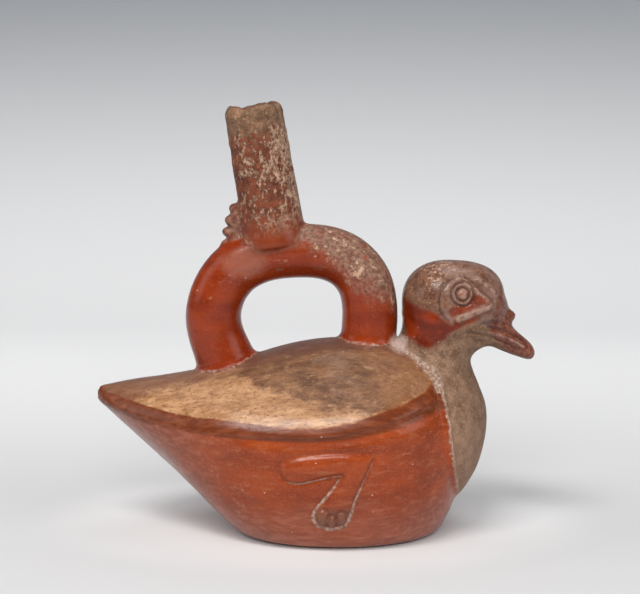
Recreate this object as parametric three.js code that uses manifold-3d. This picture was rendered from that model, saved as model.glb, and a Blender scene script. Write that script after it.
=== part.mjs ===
// A stirrup spout vessel in the form of a duck: one hollow piece of fired clay.
//
// Frame: millimetres, +Z up, +X towards the beak, the duck's sides at +Y and -Y.
// The origin is under the middle of the vessel's length, on the plane of its flat base.
//
// The outer skin is the union of the hull with its two folded wings, the breast and neck, the
// head, the bill, the stirrup, the spout and a worn lug. The empty space inside (the body
// chamber, the neck and head, the stirrup's channel and the spout's bore) is cut out of it.

import * as THREE from "three";
import { mergeVertices } from "three/addons/utils/BufferGeometryUtils.js";
import Module from "manifold-3d";

const wasm = await Module();
wasm.setup();

// ---------------------------------------------------------------- driving dimensions

const WALL = 4.6; // thickness of the potted wall
const TAIL_X = -89.2; // tip of the tail

const BASE = { x: 8, halfLength: 40.5, halfWidth: 31.5 }; // the flat oval that the vessel stands on

// The wings' outer edge, seen from above, is a teardrop: round in front, pointed at the tail.
const WING = { halfWidth: 44, frontX: 54.5, lipLow: 47.4, lipLowX: -8, lipTail: 5.5, lipFront: 12.5 };
const LIP = { roll: 0.9, groove: 1.3, grooveAt: 0.87, grooveWidth: 0.045 };

const STIRRUP = { radius: 11.2, topRadius: 10.8, flare: 1.5, channel: 6.2 };
const SPOUT = { footX: -15.9, footZ: 112, rimX: -25.6, rimZ: 171.8, footRadius: 12.6, rimRadius: 11.4 };
const BORE_RADIUS = 7.6;

const HEAD = { x: 54.6, z: 92.2, halfLength: 20.7, halfHeight: 17.9, halfWidth: 17.4 };
const BILL = { rootX: 64, rootZ: 83, tilt: 25.6 };
const EYE = { x: 57.2, y: 15.9, z: 98.3, ring: 3.3, band: 0.7, pupil: 1.8 };
const MOUTH = { gape: 0.9, depth: 1 };

const RELIEF = 1.2; // how far the legs stand proud of the hull
const SLIVER = 0.015; // the thinnest triangle that stays

// ---------------------------------------------------------------- curves and solids

// A smooth curve through [x, value] keys, as a function of x.
function curveThrough(keys) {
  const slope = (i) => {
    const a = keys[Math.max(i - 1, 0)];
    const b = keys[Math.min(i + 1, keys.length - 1)];
    return (b[1] - a[1]) / (b[0] - a[0]);
  };
  return (x) => {
    const last = keys.length - 2;
    let i = keys.findIndex((k, n) => n > 0 && x < k[0]) - 1;
    if (i < 0) i = x < keys[0][0] ? 0 : last;
    const [x0, v0] = keys[i];
    const [x1, v1] = keys[i + 1];
    const h = x1 - x0;
    const t = THREE.MathUtils.clamp((x - x0) / h, 0, 1);
    const rise = t * t * (3 - 2 * t);
    const bend = t * (1 - t) * (slope(i) * (1 - t) - slope(i + 1) * t) * h;
    return v0 + (v1 - v0) * rise + bend;
  };
}

// A closed geometry as a manifold-3d solid, with its faces turned outwards.
function solid(geometry) {
  const bare = new THREE.BufferGeometry();
  bare.setAttribute("position", geometry.getAttribute("position").clone());
  bare.setIndex(geometry.index);
  const merged = mergeVertices(bare, 1e-4);
  const triangles = [];
  for (let i = 0; i < merged.index.count; i += 3) {
    const [a, b, c] = [0, 1, 2].map((k) => merged.index.getX(i + k));
    if (a !== b && b !== c && c !== a) triangles.push(a, b, c);
  }
  const build = (indices) =>
    new wasm.Manifold(
      new wasm.Mesh({
        numProp: 3,
        vertProperties: new Float32Array(merged.attributes.position.array),
        triVerts: new Uint32Array(indices),
      }),
    );
  const made = build(triangles);
  return made.volume() > 0 ? made : build([...triangles].reverse());
}

// Where curved surfaces cross they leave slivers. This takes them out of a closed surface: a
// short edge shrinks to one point, and a triangle that is nearly a line swaps its longest edge
// for the one across it.
function withoutSlivers(points, triangles, thin) {
  const at = (v) => new THREE.Vector3().fromArray(points, 3 * v);
  const faces = [];
  const facesOf = Array.from({ length: points.length / 3 }, () => new Set());
  const addFace = (corners) => {
    faces.push(corners);
    corners.forEach((v) => facesOf[v].add(faces.length - 1));
  };
  const dropFace = (f) => {
    faces[f].forEach((v) => facesOf[v].delete(f));
    faces[f] = null;
  };
  const sharing = (a, b) => [...facesOf[a]].filter((f) => facesOf[b].has(f));
  const around = (v) => new Set([...facesOf[v]].flatMap((f) => faces[f]).filter((w) => w !== v));
  const normal = ([a, b, c]) => at(b).sub(at(a)).cross(at(c).sub(at(a)));
  for (let i = 0; i < triangles.length; i += 3) addFace([...triangles.slice(i, i + 3)]);

  // Moves vertex `gone` onto `kept`, unless that would fold the surface or pinch it.
  const collapse = (kept, gone) => {
    const nearGone = around(gone);
    if ([...around(kept)].filter((v) => nearGone.has(v)).length !== 2) return false;
    const moved = [...facesOf[gone]].filter((f) => !faces[f].includes(kept));
    const after = moved.map((f) => faces[f].map((v) => (v === gone ? kept : v)));
    const folds = after.some((corners, n) => {
      const [before, now] = [normal(faces[moved[n]]), normal(corners)];
      return now.length() < 1e-6 || (before.length() > 1e-3 && before.dot(now) <= 0);
    });
    if (folds) return false;
    [...facesOf[gone]].forEach(dropFace);
    after.forEach(addFace);
    return true;
  };

  // Swaps the edge a-b, shared by a-b-c and its neighbour b-a-d, for the edge c-d.
  const flip = (f, [a, b, c]) => {
    const other = sharing(a, b).find((g) => g !== f);
    const d = faces[other].find((v) => v !== a && v !== b);
    if (sharing(c, d).length > 0) return false;
    dropFace(f);
    dropFace(other);
    addFace([c, a, d]);
    addFace([d, b, c]);
    return true;
  };

  for (let pass = 0; pass < 12; pass++) {
    let changes = 0;
    for (let f = 0; f < faces.length; f++) {
      if (!faces[f]) continue;
      const turns = [0, 1, 2].map((k) => [0, 1, 2].map((n) => faces[f][(k + n) % 3]));
      turns.sort((p, q) => at(p[0]).distanceTo(at(p[1])) - at(q[0]).distanceTo(at(q[1])));
      const [shortest, , longest] = turns;
      const short = at(shortest[0]).distanceTo(at(shortest[1]));
      const long = at(longest[0]).distanceTo(at(longest[1]));
      if (normal(faces[f]).length() / long > thin && short > 3 * thin) continue;
      const [a, b] = shortest;
      const merged = short < 0.3 * long && (collapse(a, b) || collapse(b, a));
      if (merged || flip(f, longest)) changes++;
    }
    if (changes === 0) break;
  }
  return faces.filter((corners) => corners).flat();
}

// A solid's surface as a three.js geometry.
function geometryOf(made) {
  const mesh = made.getMesh();
  const geometry = new THREE.BufferGeometry();
  geometry.setAttribute("position", new THREE.BufferAttribute(mesh.vertProperties, mesh.numProp));
  geometry.setIndex(withoutSlivers(mesh.vertProperties, mesh.triVerts, SLIVER));
  geometry.computeVertexNormals();
  return geometry;
}

// A closed geometry through rings with the same number of points. Flat fans close its ends,
// unless the ring there is already folded shut.
function loft(rings, { openStart = false, openEnd = false } = {}) {
  const n = rings[0].length;
  const points = rings.flat();
  const index = [];
  for (let r = 0; r + 1 < rings.length; r++) {
    for (let i = 0; i < n; i++) {
      const [a, b] = [r * n + i, r * n + ((i + 1) % n)];
      index.push(a, b, b + n, a, b + n, a + n);
    }
  }
  const close = (ring, start, flip) => {
    const middle = ring.reduce((sum, p) => sum.add(p), new THREE.Vector3()).divideScalar(n);
    points.push(middle);
    for (let i = 0; i < n; i++) {
      const edge = [start + i, start + ((i + 1) % n)];
      index.push(points.length - 1, ...(flip ? edge.reverse() : edge));
    }
  };
  if (!openStart) close(rings[0], 0, true);
  if (!openEnd) close(rings.at(-1), (rings.length - 1) * n, false);
  const geometry = new THREE.BufferGeometry().setFromPoints(points);
  geometry.setIndex(index);
  return geometry;
}

// Evenly spaced numbers from a to b, both included.
const spread = (a, b, count) => Array.from({ length: count }, (_, i) => a + ((b - a) * i) / (count - 1));

// A superellipse's height above its axis at s, from -1 to 1.
const bulge = (s, power) => Math.max(0, 1 - Math.abs(s) ** power) ** (1 / power);

// ---------------------------------------------------------------- hull and wings

const REAR_LENGTH = BASE.x - TAIL_X;
const FRONT_LENGTH = WING.frontX - BASE.x;

// Half the width across the wings' outer edges at x.
function wingHalfWidth(x) {
  const front = x > BASE.x;
  const u = Math.min(1, Math.abs(x - BASE.x) / (front ? FRONT_LENGTH : REAR_LENGTH));
  return WING.halfWidth * (front ? (1 - u ** 2.3) ** (1 / 2.3) : (1 - u ** 2.3) ** 0.8);
}

// Height of the wings' outer edge at x: lowest at mid-length, higher at the tail and the neck.
function lipHeight(x) {
  const toTail = (WING.lipLowX - x) / (WING.lipLowX - TAIL_X);
  const toFront = (x - WING.lipLowX) / (WING.frontX - WING.lipLowX);
  return WING.lipLow + (toTail > 0 ? WING.lipTail * toTail ** 1.6 : WING.lipFront * toFront ** 2);
}

// Height of the back along the vessel's middle line.
const backHeight = curveThrough([[-89.2, 58.4], [-75, 61], [-61, 62.8], [-48, 65], [-26, 71.2], [-10, 75.8], [6, 78], [25, 77.6], [42, 74.5], [56, 71]]);

// Share of the way from lip to back that the roof has risen, at a share s of the half width.
const roofRise = (s) => (1 - s ** 2.4) ** 1.3;

// The hull's wall goes out and up from the base to the wings' edge: a straight slope under the
// tail, and a round bilge at the sides and in front. A groove runs under the wings' rolled lip.
function wallPoint(angle, lipRadius, t, grow) {
  const [c, s] = [Math.cos(angle), Math.sin(angle)];
  const tailness = Math.max(0, -c) ** 3;
  const baseRadius = (BASE.halfLength * BASE.halfWidth) / Math.hypot(BASE.halfWidth * c, BASE.halfLength * s);
  const power = 2.15 - 1.15 * tailness;
  const out = (1 - (1 - t) ** power) ** (1 / power);
  const belly = 5.2 * Math.max(0, c) ** 2 * Math.sin(Math.PI * t);
  const edge = 1 - tailness;
  const groove = LIP.groove * edge * Math.exp(-(((t - LIP.grooveAt) / LIP.grooveWidth) ** 2));
  const roll = LIP.roll * edge * Math.exp(-(((t - 0.97) / 0.05) ** 2));
  const relief = grow < 0 ? 0 : roll - groove;
  const radius = baseRadius + (lipRadius - baseRadius) * out + belly + relief + grow * (1 + 1.6 * tailness);
  const lip = lipHeight(BASE.x + lipRadius * c);
  const z = -grow * (1 - t) + (lip + grow / 2) * t;
  return new THREE.Vector3(BASE.x + radius * c, radius * s, Math.max(z, -grow));
}

// Rings from the base up the wall, then in over the wings to the middle line of the back.
function hull(grow, around, wallSteps, roofSteps) {
  const turns = spread(0, 2 * Math.PI, around + 1).slice(0, around);
  const lips = turns.map((turn) => {
    const u = Math.cos(turn);
    const x = BASE.x + u * (u > 0 ? FRONT_LENGTH : REAR_LENGTH);
    const y = Math.sign(Math.round(Math.sin(turn) * 1e9)) * wingHalfWidth(x);
    return { angle: Math.atan2(y, x - BASE.x), radius: Math.hypot(x - BASE.x, y) };
  });
  const walls = wallSteps.map((t) => lips.map((lip) => wallPoint(lip.angle, lip.radius, t, grow)));
  const edge = walls.at(-1);
  const roofs = roofSteps.map((u) =>
    edge.map((p) => {
      const rise = (backHeight(p.x) - lipHeight(p.x)) * roofRise(1 - u);
      return new THREE.Vector3(p.x, p.y * (1 - u), p.z + rise + (grow / 2) * Math.min(1, 4 * u));
    }),
  );
  return solid(loft([...walls, ...roofs], { openEnd: true }));
}

const OUTER_WALL = [0, 0.015, 0.06, 0.13, 0.24, 0.38, 0.52, 0.66, 0.78, 0.83, 0.87, 0.91, 0.96, 1];
const INNER_WALL = [0, 0.02, 0.08, 0.18, 0.32, 0.5, 0.7, 0.86, 1];
const OUTER_ROOF = [0.04, 0.1, 0.22, 0.38, 0.54, 0.7, 0.86, 1];
const INNER_ROOF = [0.1, 0.3, 0.55, 0.8, 1];

// ---------------------------------------------------------------- breast, neck and head

const breastFront = curveThrough([[11, 54], [15, 58.2], [19.3, 61.4], [27.6, 65.4], [38, 68], [46, 68.6], [52.3, 67.8], [60.5, 65], [66, 62.8], [70, 61.8], [76, 63], [86, 66]]);
const breastRear = curveThrough([[11, 38], [31, 28], [52, 22], [70, 28], [78, 31], [84, 34.5], [86, 36]]);
const breastHalfWidth = curveThrough([[11, 5], [15, 12], [22, 19], [31, 26], [43, 28.8], [52, 27.4], [60, 23.4], [68, 18.6], [75, 15.6], [86, 15]]);

// Level oval rings from under the breast up into the head.
function breastAndNeck(grow, around, count) {
  const rings = spread(11 - grow, 86, count).map((z) => {
    const middle = (breastFront(z) + breastRear(z)) / 2;
    const reach = (breastFront(z) - breastRear(z)) / 2 + grow;
    const side = Math.max(0.5, breastHalfWidth(z) + grow);
    return spread(0, 2 * Math.PI, around + 1)
      .slice(0, around)
      .map((a) => new THREE.Vector3(middle + Math.max(0.5, reach) * Math.cos(a), side * Math.sin(a), z));
  });
  return solid(loft(rings));
}

// A rounded skull: upright oval rings from the nape to the face, with a flat, gently sloped crown.
function head(grow, around, count) {
  const rings = spread(-0.999, 0.999, count).map((u) => {
    const s = Math.sin((u * Math.PI) / 2);
    const x = HEAD.x + s * (HEAD.halfLength + grow);
    const power = s > 0 ? 2.8 : 2.2;
    const high = bulge(s, power) * (HEAD.halfHeight + grow);
    const wide = bulge(s, 2.1) * (HEAD.halfWidth + grow) * (s > 0 ? 1 - 0.18 * s * s : 1);
    const middle = HEAD.z - 0.06 * (x - HEAD.x);
    return spread(0, 2 * Math.PI, around + 1)
      .slice(0, around)
      .map((a) => new THREE.Vector3(x, wide * Math.cos(a), middle + high * Math.sin(a)));
  });
  return solid(loft(rings));
}

const billTop = curveThrough([[0, 9.4], [7, 8.2], [11.4, 7.1], [16.2, 5.4], [22.3, 3.8], [25, 2.2], [26.6, 0.4]]);
const billBottom = curveThrough([[0, -4.2], [4, -4.7], [8.4, -4.3], [14.2, -4.1], [20, -3.6], [25, -2.6], [26.6, -1.2]]);
const billHalfWidth = curveThrough([[0, 11], [8, 9.2], [14, 7.8], [20, 6.8], [23.5, 5.6], [25.6, 3.4], [26.6, 1]]);

// Places a geometry drawn along the bill (its length on +X, its top to +Z) at the face.
function alongBill(geometry) {
  return geometry.rotateY(THREE.MathUtils.degToRad(BILL.tilt)).translate(BILL.rootX, 0, BILL.rootZ);
}

function bill(grow, around) {
  const rings = [0, 4, 8, 12, 16, 20, 23, 25, 26.1, 26.6].map((s) => {
    const middle = (billTop(s) + billBottom(s)) / 2;
    const high = Math.max(0.4, (billTop(s) - billBottom(s)) / 2 + grow);
    const wide = Math.max(0.4, billHalfWidth(s) + grow);
    return spread(0, 2 * Math.PI, around + 1)
      .slice(0, around)
      .map((a) => new THREE.Vector3(s, wide * Math.cos(a), middle + high * Math.sin(a)));
  });
  return solid(alongBill(loft(rings)));
}

// The line between the upper and lower bill, cut a little way in.
function mouthCut() {
  const mouth = new THREE.Shape();
  mouth.moveTo(-1, 1.6 - MOUTH.gape / 2);
  mouth.lineTo(30, -1.2 - MOUTH.gape / 2);
  mouth.lineTo(30, -1.2 + MOUTH.gape / 2);
  mouth.lineTo(-1, 1.6 + MOUTH.gape / 2);
  const slab = new THREE.ExtrudeGeometry(mouth, { depth: 30, bevelEnabled: false });
  slab.translate(0, 0, -15).rotateX(Math.PI / 2);
  return solid(alongBill(slab)).subtract(bill(-MOUTH.depth, 16));
}

// A ball stretched to half sizes (rx, ry, rz) round a centre.
function ball(x, y, z, rx, ry, rz, around = 16) {
  const sphere = new THREE.SphereGeometry(1, around, around / 2);
  return solid(sphere.scale(rx, ry, rz).translate(x, y, z));
}

const nostrilBoss = () => ball(73.6, 0, 87.4, 5.2, 5.4, 5);

// The eye on one side: a ring and a domed pupil on the cheek.
function eye(side) {
  const forward = THREE.MathUtils.degToRad(8);
  const up = THREE.MathUtils.degToRad(24);
  const place = (geometry) => geometry.rotateX(side * up).rotateZ(-side * forward).translate(EYE.x, side * EYE.y, EYE.z);
  const ring = new THREE.TorusGeometry(EYE.ring, EYE.band, 5, 18).rotateX(Math.PI / 2);
  const pupil = new THREE.SphereGeometry(EYE.pupil, 10, 6);
  return [solid(place(ring)), solid(place(pupil))];
}

// ---------------------------------------------------------------- stirrup, spout and lug

// The stirrup's centre line, from inside the back near the tail, over, and down before the neck.
const stirrupLine = new THREE.CatmullRomCurve3(
  [[-33, 58], [-37.5, 71], [-41, 81], [-41.6, 89.5], [-38.6, 99], [-32, 107], [-21, 112.2], [-8, 113.7], [4, 112.8], [12.9, 108.7], [18.8, 101.3], [21.1, 92], [21, 82], [19.8, 71], [18, 60]].map(
    ([x, z]) => new THREE.Vector3(x, 0, z),
  ),
);

// A round tube along the stirrup's line. It is a little thinner over the top, and each foot flares.
function stirrupTube(radiusAt, around, steps) {
  const rings = spread(0, 1, steps).map((u) => {
    const middle = stirrupLine.getPointAt(u);
    const along = stirrupLine.getTangentAt(u);
    const outward = new THREE.Vector3(-along.z, 0, along.x);
    const radius = radiusAt(u);
    return spread(0, 2 * Math.PI, around + 1)
      .slice(0, around)
      .map((a) => middle.clone().addScaledVector(outward, radius * Math.cos(a)).setY(radius * Math.sin(a)));
  });
  return solid(loft(rings));
}

function stirrupRadius(u) {
  const over = Math.sin(Math.PI * u) ** 4;
  const foot = Math.exp(-(((u - 0.06) / 0.045) ** 2)) + Math.exp(-(((u - 0.92) / 0.035) ** 2));
  return THREE.MathUtils.lerp(STIRRUP.radius, STIRRUP.topRadius, over) + STIRRUP.flare * foot;
}

// Turns a geometry drawn about +Y, with its foot at 0, onto the leaning spout's axis.
function onSpout(geometry) {
  const foot = new THREE.Vector3(SPOUT.footX, 0, SPOUT.footZ);
  const axis = new THREE.Vector3(SPOUT.rimX, 0, SPOUT.rimZ).sub(foot).normalize();
  const turn = new THREE.Quaternion().setFromUnitVectors(new THREE.Vector3(0, 1, 0), axis);
  return geometry.applyQuaternion(turn).translate(foot.x, foot.y, foot.z);
}

const SPOUT_LENGTH = Math.hypot(SPOUT.rimX - SPOUT.footX, SPOUT.rimZ - SPOUT.footZ);

// A slightly tapered tube. Its rim is rounded and worn away unevenly.
function spoutSkin() {
  const stations = [[0, 1.7], [0.08, 1.5], [0.16, 0.6], [0.26, 0], [0.6, 0.1], [0.86, 0], [0.95, -0.3], [1, -1.3]];
  const turns = spread(0, 2 * Math.PI, 29).slice(0, 28);
  const rings = stations.map(([u, swell]) => {
    const radius = THREE.MathUtils.lerp(SPOUT.footRadius, SPOUT.rimRadius, u) + swell;
    return turns.map((a) => {
      const wear = u < 0.9 ? 0 : 0.4 * Math.sin(2 * a + 1) + 0.3 * Math.sin(5 * a) - 1.3 * Math.max(0, Math.cos(a)) ** 4;
      return new THREE.Vector3(radius * Math.cos(a), SPOUT_LENGTH * u + wear, -radius * Math.sin(a));
    });
  });
  return solid(onSpout(loft(rings)));
}

function bore() {
  const tube = new THREE.CylinderGeometry(BORE_RADIUS, BORE_RADIUS - 0.8, SPOUT_LENGTH + 10, 16);
  return solid(onSpout(tube.translate(0, SPOUT_LENGTH / 2 + 5, 0)));
}

// Three worn knobs on a fin behind the spout's foot.
function lug() {
  const fin = ball(-30.2, 0, 121, 6, 4.4, 12);
  const knobs = [[-32, 130], [-33.6, 123.4], [-34.6, 117]].map(([x, z]) => ball(x, 0, z, 3, 3.8, 3, 10));
  return [fin, ...knobs];
}

// ---------------------------------------------------------------- legs in relief

// A folded leg drawn on the hull's side: thigh, knee, shank and a round webbed foot.
function legOutline() {
  const leg = new THREE.Shape();
  leg.moveTo(-13.2, 33.2);
  leg.bezierCurveTo(-13.4, 37.6, -7, 40, 1, 41.2);
  leg.bezierCurveTo(8, 42.6, 16, 41.6, 21.6, 39);
  leg.bezierCurveTo(21.6, 34.5, 17.6, 30.5, 14.2, 26);
  leg.bezierCurveTo(11.8, 22.5, 12.2, 20.5, 12.8, 17.6);
  leg.bezierCurveTo(13.4, 12.5, 9, 8.4, 4.4, 9);
  leg.bezierCurveTo(-0.6, 10, -2.6, 15, 0.2, 19.4);
  leg.bezierCurveTo(3.6, 24, 6.2, 29, 6.6, 34.4);
  leg.bezierCurveTo(2.6, 35.2, -1, 33.6, -6, 31.4);
  leg.bezierCurveTo(-10, 29.8, -12.6, 30.6, -13.2, 33.2);
  return leg;
}

function legs() {
  const slab = new THREE.ExtrudeGeometry(legOutline(), { depth: 110, bevelEnabled: false, curveSegments: 5 });
  slab.rotateX(Math.PI / 2).translate(0, 55, 0);
  return solid(slab).intersect(hull(RELIEF, 44, OUTER_WALL, OUTER_ROOF));
}

// ---------------------------------------------------------------- the vessel

function skin() {
  const parts = [
    hull(0, 44, OUTER_WALL, OUTER_ROOF),
    breastAndNeck(0, 26, 15),
    head(0, 26, 15),
    bill(0, 18),
    nostrilBoss(),
    stirrupTube(stirrupRadius, 18, 26),
    spoutSkin(),
    legs(),
    ...lug(),
    ...eye(1),
    ...eye(-1),
  ];
  return parts.reduce((all, part) => all.add(part)).subtract(mouthCut());
}

function emptySpace() {
  const parts = [
    hull(-WALL, 30, INNER_WALL, INNER_ROOF),
    breastAndNeck(-WALL, 16, 9),
    head(-WALL, 16, 9),
    stirrupTube(() => STIRRUP.channel, 10, 20),
    bore(),
  ];
  return parts.reduce((all, part) => all.add(part));
}

const clay = new THREE.MeshStandardMaterial({ color: 0xa14b2a, roughness: 0.45, metalness: 0 });

const vessel = new THREE.Mesh(geometryOf(skin().subtract(emptySpace())), clay);
vessel.name = "vessel";

const model = new THREE.Group();
model.add(vessel);

export default model;
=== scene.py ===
"""The look of a stirrup spout vessel in the form of a resting duck: one hollow piece of fired clay.

The clay's surface is where a field of distances is zero. The field is built from the same named
sizes as the CAD part, in millimetres, and its forms melt into one another as modelled clay does.
The mesh is made finer where the carving is, and the carving is then raised or cut along the
surface's own direction.
"""

import math
from types import SimpleNamespace

import bpy
import numpy as np
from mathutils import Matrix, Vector


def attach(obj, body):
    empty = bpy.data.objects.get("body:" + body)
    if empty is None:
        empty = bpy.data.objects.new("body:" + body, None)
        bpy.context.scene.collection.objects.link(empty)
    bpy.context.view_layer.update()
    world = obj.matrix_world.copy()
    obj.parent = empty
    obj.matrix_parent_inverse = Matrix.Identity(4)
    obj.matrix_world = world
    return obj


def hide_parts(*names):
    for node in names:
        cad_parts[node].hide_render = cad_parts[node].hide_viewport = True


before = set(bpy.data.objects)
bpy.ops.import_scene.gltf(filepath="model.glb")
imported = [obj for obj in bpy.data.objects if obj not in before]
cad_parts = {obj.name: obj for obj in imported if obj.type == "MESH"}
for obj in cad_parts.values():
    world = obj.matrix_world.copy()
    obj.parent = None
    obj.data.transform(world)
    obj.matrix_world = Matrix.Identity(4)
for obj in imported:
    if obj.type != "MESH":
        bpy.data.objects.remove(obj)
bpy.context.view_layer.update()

MM = 0.001
NET_STEP = 1.35  # size of the surface net's cells, in mm
NET_LOW, NET_HIGH = np.array([-93.0, -47.3, -3.0]), np.array([92.0, 48.0, 177.0])

# ---- driving dimensions, in mm

WALL = 4.6
TAIL_X = -89.2
BASE_X, BASE_LENGTH, BASE_WIDTH = 8.0, 40.5, 31.5  # the flat oval that the vessel stands on
WING_WIDTH, WING_FRONT, WING_ROUNDNESS = 44.0, 54.5, 2.3
LIP_LOW, LIP_LOW_X, LIP_TAIL, LIP_FRONT = 47.4, -8.0, 5.5, 12.5
STIRRUP_RADIUS, STIRRUP_TOP_RADIUS, CHANNEL_RADIUS = 11.2, 10.8, 6.2
SPOUT_FOOT, SPOUT_RIM = np.array([-15.9, 112.0]), np.array([-25.6, 171.8])
SPOUT_FOOT_RADIUS, SPOUT_RIM_RADIUS, BORE_RADIUS = 12.5, 11.5, 7.4
HEAD_X, HEAD_Z, HEAD_LENGTH, HEAD_HEIGHT, HEAD_WIDTH = 54.6, 92.2, 20.7, 17.9, 17.4
BREAST_LOW, NECK_TOP = 11.0, 86.0
BILL_X, BILL_Z, BILL_LENGTH, BILL_TILT = 64.0, 83.0, 26.6, math.radians(25.6)
BRIDGE, BRIDGE_SIZES = (70.8, 0, 91.4), (5.6, 7.0, 5.2)
BOSS, BOSS_SIZES = (74.4, 0, 87.0), (4.5, 5.2, 4.2)
BOSS_TIP, BOSS_TIP_SIZES = (77.7, 0, 87.7), (2.1, 2.8, 1.7)
EYE_X, EYE_Z = 57.2, 98.3
LUG, LUG_SIZES, TOOTH_SIZES = (-29.9, 0, 119.6), (6.4, 5.4, 14.0), (2.4, 3.6, 2.1)
LUG_TEETH = ((-32.9, 130.6), (-34.6, 125.9), (-35.7, 121.2), (-36.2, 116.2))  # x and z

# The fillets where one form meets the next.
NECK_FILLET, BILL_FILLET, BOSS_FILLET = 6.0, 2.2, 2.0
STIRRUP_FILLET, BREAST_FILLET, SPOUT_FILLET, LUG_FILLET = 4.0, 1.2, 2.0, 1.4

# ---- helpers for shapes


def curve_through(keys):
    """A smooth curve through (x, value) keys."""
    xs, vs = np.array(keys, float).T
    lo, hi = np.maximum(np.arange(len(xs)) - 1, 0), np.minimum(np.arange(len(xs)) + 1, len(xs) - 1)
    slopes = (vs[hi] - vs[lo]) / (xs[hi] - xs[lo])

    def curve(x):
        i = np.clip(np.searchsorted(xs, x, side="right") - 1, 0, len(xs) - 2)
        h = xs[i + 1] - xs[i]
        t = np.clip((x - xs[i]) / h, 0, 1)
        bend = t * (1 - t) * (slopes[i] * (1 - t) - slopes[i + 1] * t) * h
        return vs[i] + (vs[i + 1] - vs[i]) * t * t * (3 - 2 * t) + bend

    return curve


def smooth_min(a, b, k):
    """The smaller of two distances, with a fillet about k mm across where they are equal."""
    h = np.clip(k - np.abs(a - b), 0, None) / k
    return np.minimum(a, b) - h * h * k / 4


def smooth_max(a, b, k):
    return -smooth_min(-a, -b, k)


def step_up(x, low, high):
    t = np.clip((x - low) / (high - low), 0, 1)
    return t * t * (3 - 2 * t)


def bell(x, width):
    return np.exp(-((x / width) ** 2))


def evened(field, x, y, z):
    """A field divided by its slope, so that it reads as a distance near its zero."""
    e = 0.4
    f = field(x, y, z)
    slope = np.sqrt(
        (field(x + e, y, z) - f) ** 2 + (field(x, y + e, z) - f) ** 2 + (field(x, y, z + e) - f) ** 2
    )
    return f / np.maximum(slope / e, 0.25)


def to_polyline(points, x, z):
    """Distance in the x-z plane to a run of points, and how far along it the nearest place is."""
    points = np.asarray(points, float)
    legs = np.linalg.norm(np.diff(points, axis=0), axis=1)
    run = np.concatenate([[0], np.cumsum(legs)]) / legs.sum()
    best = np.full(np.shape(x), 1e9)
    where = np.zeros(np.shape(x))
    for i, length in enumerate(legs):
        ax, az = points[i]
        dx, dz = (points[i + 1] - points[i]) / length
        t = np.clip((x - ax) * dx + (z - az) * dz, 0, length)
        d = (x - ax - dx * t) ** 2 + (z - az - dz * t) ** 2
        near = d < best
        best = np.where(near, d, best)
        where = np.where(near, run[i] + (run[i + 1] - run[i]) * t / length, where)
    return np.sqrt(best), where


def lattice_noise(x, y, z, size, seed):
    """Smooth noise from -1 to 1 on a lattice of cells that are size mm across."""
    table = np.random.default_rng(seed).uniform(-1, 1, (32, 32, 32))
    p = np.stack([x, y, z]) / size
    i = np.floor(p).astype(int)
    f = p - i
    f = f * f * (3 - 2 * f)
    total = 0
    for corner in np.ndindex(2, 2, 2):
        w = 1.0
        for k in range(3):
            w = w * np.where(corner[k], f[k], 1 - f[k])
        total = total + w * table[tuple((i[k] + corner[k]) % 32 for k in range(3))]
    return total


# ---- hull and wings

back_height = curve_through([
    (-89.2, 58.4), (-75, 61), (-61, 62.8), (-48, 65), (-26, 71.2),
    (-10, 75.8), (6, 78), (25, 77.6), (42, 74.5), (56, 71),
])


def wing_half_width(x):
    """Half the width across the wings' outer edges: a teardrop, round in front."""
    front = np.clip((x - BASE_X) / (WING_FRONT - BASE_X), 0, 1)
    rear = np.clip((BASE_X - x) / (BASE_X - TAIL_X), 0, 1)
    round_front = (1 - front**WING_ROUNDNESS) ** (1 / WING_ROUNDNESS)
    return WING_WIDTH * np.where(x > BASE_X, round_front, (1 - rear**WING_ROUNDNESS) ** 0.8)


def lip_height(x):
    """Height of the wings' outer edge: lowest at mid-length, rising to the tail and the neck."""
    tail = np.clip((LIP_LOW_X - x) / (LIP_LOW_X - TAIL_X), 0, 1)
    front = np.clip((x - LIP_LOW_X) / (WING_FRONT - LIP_LOW_X), 0, 1)
    return LIP_LOW + LIP_TAIL * tail**1.6 + LIP_FRONT * front**2


_turn = np.linspace(0, math.pi, 721)
_lip_x = BASE_X + np.cos(_turn) * np.where(np.cos(_turn) > 0, WING_FRONT - BASE_X, BASE_X - TAIL_X)
_lip_y = wing_half_width(_lip_x) * (np.sin(_turn) > 1e-9)
LIP_ANGLES = np.arctan2(_lip_y, _lip_x - BASE_X)
LIP_RADII = np.hypot(_lip_x - BASE_X, _lip_y)


def wall_share(x, y, z):
    """A point's angle about the base, the lip's radius there, and its share of the wall's height."""
    angle = np.arctan2(np.abs(y), x - BASE_X)
    radius = np.interp(angle, LIP_ANGLES, LIP_RADII)
    return angle, radius, z / lip_height(BASE_X + radius * np.cos(angle))


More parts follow.
